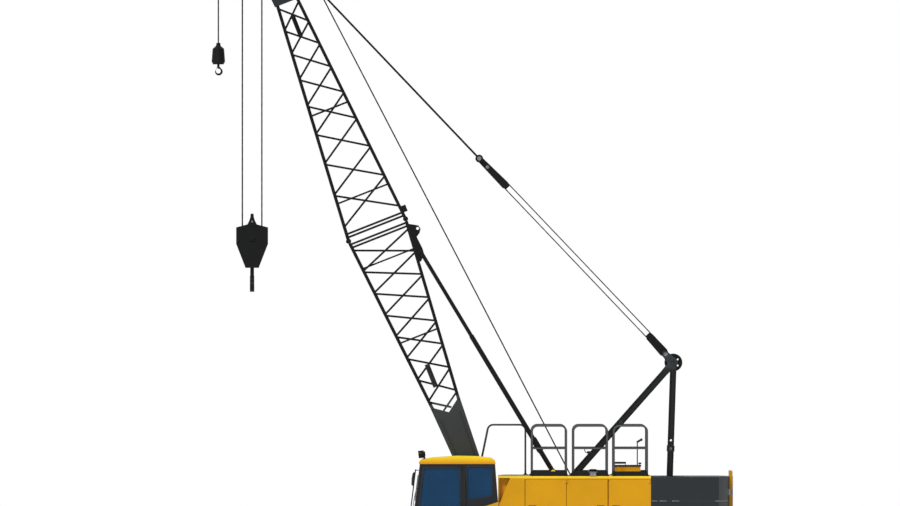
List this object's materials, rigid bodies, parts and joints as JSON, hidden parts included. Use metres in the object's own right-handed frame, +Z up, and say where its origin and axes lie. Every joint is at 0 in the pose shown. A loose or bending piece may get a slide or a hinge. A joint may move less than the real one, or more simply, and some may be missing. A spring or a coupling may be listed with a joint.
{
  "type": "crawler crane",
  "caption": "Crawler crane with a slewing upper, cab, lattice boom, gantry and pendants, a main hook block and an auxiliary ball hook.",
  "frame": {"origin": "on the ground, under the slewing axis", "axes": "+X forward, to the boom and cab; +Y to the crane's left; +Z up"},
  "size_m": [10.8608, 4.3, 14.5207],
  "materials": {
    "yellow": "satin",
    "grey": "satin",
    "black": "satin",
    "track_steel": "matte",
    "steel": "satin",
    "rope": "matte",
    "glass": "gloss",
    "interior": "matte"
  },
  "bodies": {
    "undercarriage": {"carbody": "grey", "track_frame_left": "grey", "track_frame_right": "grey", "track_wheels_left": "track_steel", "track_wheels_right": "track_steel", "track_left": "track_steel", "track_right": "track_steel"},
    "upper": {"slew_ring": "steel", "revolving_frame": "grey", "house_left": "yellow", "house_right": "yellow", "handrails": "grey", "deck_fittings": "grey", "fuel_tank": "yellow", "counterweight_lower": "grey", "counterweight_upper": "grey", "engine": "black", "winches": "grey", "gantry_front_legs": "grey", "gantry_rear_legs": "grey", "gantry_sheaves": "steel", "cab_shell": "yellow", "cab_roof": "yellow", "cab_glass": "glass", "cab_interior": "interior", "cab_mirror": "black"},
    "cab_door": {"cab_door": "yellow", "cab_door_glass": "glass"},
    "boom": {"boom_foot_section": "black", "boom_head_section": "black", "boom_head_plates": "grey", "boom_head_sheaves": "steel"},
    "main_line": {"main_falls": "rope"},
    "main_block": {"main_hook_block": "black"},
    "main_hook": {"main_hook": "steel"},
    "aux_line": {"aux_fall": "rope"},
    "ball": {"ball_weight": "black"},
    "ball_hook": {"ball_hook": "steel"},
    "stay": {"lower_spreader": "black", "derrick_ropes": "rope"},
    "pendant_stay": {"upper_spreader": "black", "pendants": "black"},
    "backstop_lower": {"backstop_tubes": "black"},
    "backstop_upper": {"backstop_rods": "black"},
    "hoist_run": {"hoist_lines": "rope"},
    "hoist_head": {"hoist_line_ends": "rope"},
    "door_left_front": {"house_door_left_front": "yellow"},
    "door_left_middle": {"house_door_left_middle": "yellow"},
    "door_left_rear": {"house_door_left_rear": "yellow"},
    "door_right_front": {"house_door_right_front": "yellow"},
    "door_right_middle": {"house_door_right_middle": "yellow"},
    "door_right_rear": {"house_door_right_rear": "yellow"}
  },
  "joints": [
    {"name": "slew", "type": "hinge", "parent": "undercarriage", "child": "upper", "pos_m": [0, 0, 1.11], "axis": [0, 0, 1], "continuous": true},
    {"name": "boom_luff", "type": "hinge", "parent": "upper", "child": "boom", "pos_m": [0.99, 0, 1.97], "axis": [0, 1, 0], "range_deg": [-11.5, 38.5]},
    {"name": "main_line_swing", "type": "hinge", "parent": "boom", "child": "main_line", "pos_m": [5.97689, 0, 13.97784], "axis": [0, 1, 0], "range_deg": [-38.55, 11.55]},
    {"name": "main_hoist", "type": "slide", "parent": "main_line", "child": "main_block", "axis": [0, 0, 1], "range_m": [-6.5, 4.6], "deforming": ["main_falls"]},
    {"name": "main_hook_swivel", "type": "hinge", "parent": "main_block", "child": "main_hook", "pos_m": [5.97689, 0, 7.3], "axis": [0, 0, 1], "continuous": true},
    {"name": "aux_line_swing", "type": "hinge", "parent": "boom", "child": "aux_line", "pos_m": [6.47676, 0, 14.30005], "axis": [0, 1, 0], "range_deg": [-38.55, 11.55]},
    {"name": "aux_hoist", "type": "slide", "parent": "aux_line", "child": "ball", "axis": [0, 0, 1], "range_m": [-11, 1.6], "deforming": ["aux_fall"]},
    {"name": "ball_hook_swivel", "type": "hinge", "parent": "ball", "child": "ball_hook", "pos_m": [6.67976, 0, 11.46], "axis": [0, 0, 1], "continuous": true},
    {"name": "stay_swing", "type": "hinge", "parent": "upper", "child": "stay", "pos_m": [-2.6375, 0, 5.43], "axis": [0, 1, 0], "range_deg": [-10.63, 35.47]},
    {"name": "stay_stretch", "type": "slide", "parent": "stay", "child": "pendant_stay", "axis": [0.6896, 0, 0.7242], "range_m": [-0.9624, 3.2196], "deforming": ["derrick_ropes"]},
    {"name": "backstop_swing", "type": "hinge", "parent": "upper", "child": "backstop_lower", "pos_m": [-0.29, 0, 2.985], "axis": [0, 1, 0], "range_deg": [-11.23, 37.47]},
    {"name": "backstop_slide", "type": "slide", "parent": "backstop_lower", "child": "backstop_upper", "axis": [0.5151, 0, 0.8571], "range_m": [-0.3201, 1.0694]},
    {"name": "hoist_swing", "type": "hinge", "parent": "upper", "child": "hoist_run", "pos_m": [-0.75, 0, 2.3], "axis": [0, 1, 0], "range_deg": [-10.85, 36.2]},
    {"name": "hoist_stretch", "type": "slide", "parent": "hoist_run", "child": "hoist_head", "axis": [0.4606, 0, 0.8876], "range_m": [-0.3001, 1.0022], "deforming": ["hoist_lines"]},
    {"name": "cab_door_hinge", "type": "hinge", "parent": "upper", "child": "cab_door", "pos_m": [1.62, 1.6143, 2.2], "axis": [0, 0, 1], "range_deg": [0, 100]},
    {"name": "house_door_left_front_hinge", "type": "hinge", "parent": "upper", "child": "door_left_front", "pos_m": [-0.549, 1.564, 2.1], "axis": [0, 0, 1], "range_deg": [0, 90]},
    {"name": "house_door_left_middle_hinge", "type": "hinge", "parent": "upper", "child": "door_left_middle", "pos_m": [-0.577, 1.564, 2.1], "axis": [0, 0, -1], "range_deg": [0, 90]},
    {"name": "house_door_left_rear_hinge", "type": "hinge", "parent": "upper", "child": "door_left_rear", "pos_m": [-2.289, 1.564, 2.1], "axis": [0, 0, 1], "range_deg": [0, 90]},
    {"name": "house_door_right_front_hinge", "type": "hinge", "parent": "upper", "child": "door_right_front", "pos_m": [-0.549, -1.564, 2.1], "axis": [0, 0, -1], "range_deg": [0, 90]},
    {"name": "house_door_right_middle_hinge", "type": "hinge", "parent": "upper", "child": "door_right_middle", "pos_m": [-0.577, -1.564, 2.1], "axis": [0, 0, 1], "range_deg": [0, 90]},
    {"name": "house_door_right_rear_hinge", "type": "hinge", "parent": "upper", "child": "door_right_rear", "pos_m": [-2.289, -1.564, 2.1], "axis": [0, 0, -1], "range_deg": [0, 90]}
  ],
  "couplings": [
    {"joint": "main_line_swing", "follows": "boom_luff", "ratio": -1},
    {"joint": "aux_line_swing", "follows": "boom_luff", "ratio": -1},
    {"joint": "stay_swing", "follows": "boom_luff", "ratio": 0.92},
    {"joint": "stay_stretch", "follows": "boom_luff", "m_per_rad": 4.79},
    {"joint": "backstop_swing", "follows": "boom_luff", "ratio": 0.972},
    {"joint": "backstop_slide", "follows": "boom_luff", "m_per_rad": 1.59},
    {"joint": "hoist_swing", "follows": "boom_luff", "ratio": 0.939},
    {"joint": "hoist_stretch", "follows": "boom_luff", "m_per_rad": 1.49}
  ]
}
